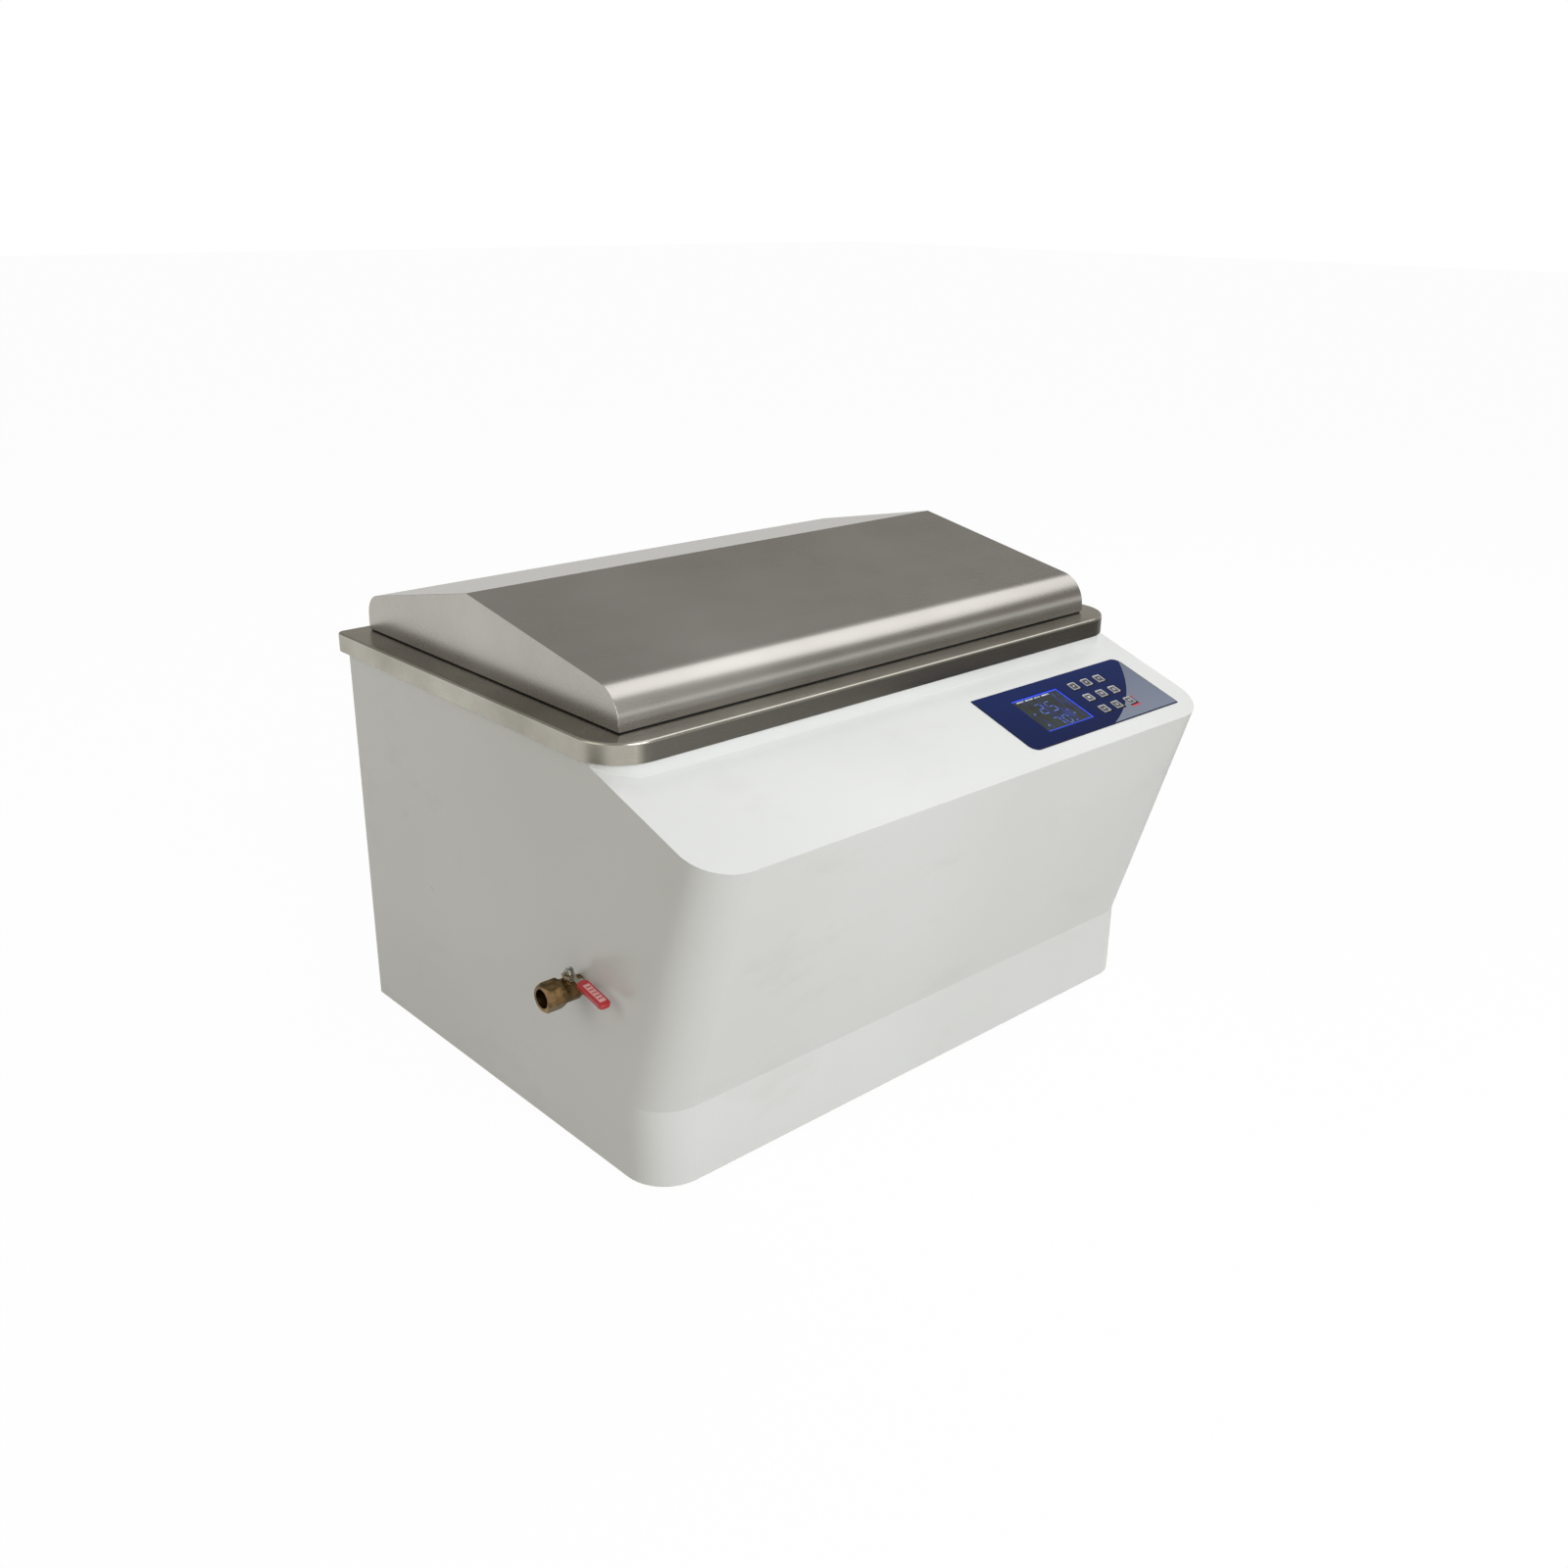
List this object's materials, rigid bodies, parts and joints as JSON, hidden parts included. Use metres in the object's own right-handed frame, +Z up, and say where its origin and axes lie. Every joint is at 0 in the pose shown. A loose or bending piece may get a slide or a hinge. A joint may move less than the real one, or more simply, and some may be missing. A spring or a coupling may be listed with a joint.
{
  "type": "shaking water bath",
  "caption": "Heated water bath with a hinged gabled lid, a sloping control console, a drain valve and a magnetically driven orbital flask tray.",
  "frame": {"origin": "centre of the four feet's footprint, on the bench surface under the cabinet's mid-plane", "axes": "+Z up, -Y towards the control console, +X to the right seen from the front"},
  "size_m": [0.7455, 0.614, 0.5019],
  "materials": {
    "cabinet_paint": "gloss",
    "plated_steel": "satin",
    "lid_steel": "satin",
    "rim_steel": "satin",
    "tank_steel": "satin",
    "bright_steel": "polished",
    "spring_steel": "polished",
    "heater_steel": "satin",
    "bearing_steel": "polished",
    "cast_housing": "matte",
    "motor_paint": "satin",
    "black_rubber": "matte",
    "gasket_rubber": "matte",
    "magnet": "satin",
    "slide_plastic": "satin",
    "foam": "matte",
    "brass": "satin",
    "red_vinyl": "gloss",
    "overlay_print": "gloss",
    "display_glass": "gloss",
    "key_silver": "satin",
    "circuit_board": "satin",
    "black_plastic": "satin",
    "rocker_plastic": "gloss"
  },
  "bodies": {
    "root": {"cabinet_shell": "cabinet_paint", "base_plate": "plated_steel", "rear_panel": "cabinet_paint", "rubber_feet": "black_rubber", "cabinet_screws": "bright_steel", "tank_rim": "rim_steel", "tank": "tank_steel", "tank_insulation": "foam", "hinge_fixed_leaves": "bright_steel", "hinge_pins": "bright_steel", "heater_element": "heater_steel", "temperature_probe": "bright_steel", "valve_body": "brass", "drain_pipe": "tank_steel", "drain_grommet": "black_rubber", "drive_deck": "plated_steel", "deck_columns": "plated_steel", "bearing_housings": "cast_housing", "deck_bearings": "bearing_steel", "motor_bracket": "plated_steel", "drive_motor": "motor_paint", "drive_belt": "black_rubber", "control_overlay": "overlay_print", "display_module": "display_glass", "key_board": "circuit_board", "control_board": "circuit_board", "power_inlet": "black_plastic", "power_switch": "black_plastic"},
    "lid": {"lid_shell": "lid_steel", "lid_gasket": "gasket_rubber", "hinge_moving_leaves": "bright_steel"},
    "valve_handle": {"valve_stem": "bright_steel", "valve_lever": "bright_steel", "valve_sleeve": "red_vinyl", "valve_nut": "bright_steel"},
    "crank": {"crank_shaft": "plated_steel", "driven_pulley": "cast_housing"},
    "shaker": {"magnet_carrier": "cast_housing", "carrier_bearings": "bearing_steel", "drive_magnets": "magnet", "shaking_tray": "tank_steel", "tray_magnets": "magnet", "tray_glides": "slide_plastic", "flask_clips": "spring_steel", "clip_springs": "spring_steel", "clip_screws": "bright_steel"},
    "idler_left": {"idler_crank_left": "plated_steel"},
    "idler_right": {"idler_crank_right": "plated_steel"},
    "idler_rear": {"idler_crank_rear": "plated_steel"},
    "motor_rotor": {"motor_pulley": "cast_housing"},
    "rocker": {"switch_rocker": "rocker_plastic"},
    "key_1": {"key_1": "key_silver"},
    "key_2": {"key_2": "key_silver"},
    "key_3": {"key_3": "key_silver"},
    "key_4": {"key_4": "key_silver"},
    "key_5": {"key_5": "key_silver"},
    "key_6": {"key_6": "key_silver"},
    "key_7": {"key_7": "key_silver"},
    "key_8": {"key_8": "key_silver"},
    "key_9": {"key_9": "key_silver"}
  },
  "joints": [
    {"name": "lid_hinge", "type": "hinge", "parent": "root", "child": "lid", "pos_m": [0, 0.27, 0.43], "axis": [-1, 0, 0], "range_deg": [0, 100]},
    {"name": "valve_turn", "type": "hinge", "parent": "root", "child": "valve_handle", "pos_m": [-0.365, -0.147, 0.18], "axis": [0, 0.2079, -0.9781], "range_deg": [0, 90]},
    {"name": "crank_spin", "type": "hinge", "parent": "root", "child": "crank", "pos_m": [0, 0.032, 0.12], "axis": [0, 0, 1], "continuous": true},
    {"name": "shaker_orbit", "type": "hinge", "parent": "crank", "child": "shaker", "pos_m": [0.01, 0.032, 0.17], "axis": [0, 0, 1], "continuous": true},
    {"name": "idler_left_spin", "type": "hinge", "parent": "root", "child": "idler_left", "pos_m": [-0.19, -0.063, 0.13], "axis": [0, 0, 1], "continuous": true},
    {"name": "idler_right_spin", "type": "hinge", "parent": "root", "child": "idler_right", "pos_m": [0.19, -0.063, 0.13], "axis": [0, 0, 1], "continuous": true},
    {"name": "idler_rear_spin", "type": "hinge", "parent": "root", "child": "idler_rear", "pos_m": [-0.09, 0.142, 0.13], "axis": [0, 0, 1], "continuous": true},
    {"name": "motor_spin", "type": "hinge", "parent": "root", "child": "motor_rotor", "pos_m": [0.15, 0.102, 0.13], "axis": [0, 0, 1], "continuous": true},
    {"name": "power_rocker", "type": "hinge", "parent": "root", "child": "rocker", "pos_m": [0.2, 0.2552, 0.064], "axis": [-1, 0, 0], "range_deg": [0, 20]},
    {"name": "key_1_press", "type": "slide", "parent": "root", "child": "key_1", "axis": [0, 0.3227, -0.9465], "range_m": [0, 0.0005], "stiffness_N_per_m": 1500},
    {"name": "key_2_press", "type": "slide", "parent": "root", "child": "key_2", "axis": [0, 0.3227, -0.9465], "range_m": [0, 0.0005], "stiffness_N_per_m": 1500},
    {"name": "key_3_press", "type": "slide", "parent": "root", "child": "key_3", "axis": [0, 0.3227, -0.9465], "range_m": [0, 0.0005], "stiffness_N_per_m": 1500},
    {"name": "key_4_press", "type": "slide", "parent": "root", "child": "key_4", "axis": [0, 0.3227, -0.9465], "range_m": [0, 0.0005], "stiffness_N_per_m": 1500},
    {"name": "key_5_press", "type": "slide", "parent": "root", "child": "key_5", "axis": [0, 0.3227, -0.9465], "range_m": [0, 0.0005], "stiffness_N_per_m": 1500},
    {"name": "key_6_press", "type": "slide", "parent": "root", "child": "key_6", "axis": [0, 0.3227, -0.9465], "range_m": [0, 0.0005], "stiffness_N_per_m": 1500},
    {"name": "key_7_press", "type": "slide", "parent": "root", "child": "key_7", "axis": [0, 0.3227, -0.9465], "range_m": [0, 0.0005], "stiffness_N_per_m": 1500},
    {"name": "key_8_press", "type": "slide", "parent": "root", "child": "key_8", "axis": [0, 0.3227, -0.9465], "range_m": [0, 0.0005], "stiffness_N_per_m": 1500},
    {"name": "key_9_press", "type": "slide", "parent": "root", "child": "key_9", "axis": [0, 0.3227, -0.9465], "range_m": [0, 0.0005], "stiffness_N_per_m": 1500}
  ],
  "couplings": [
    {"joint": "shaker_orbit", "follows": "crank_spin", "ratio": -1},
    {"joint": "idler_left_spin", "follows": "crank_spin", "ratio": 1},
    {"joint": "idler_right_spin", "follows": "crank_spin", "ratio": 1},
    {"joint": "idler_rear_spin", "follows": "crank_spin", "ratio": 1},
    {"joint": "motor_spin", "follows": "crank_spin", "ratio": 3.7523}
  ]
}
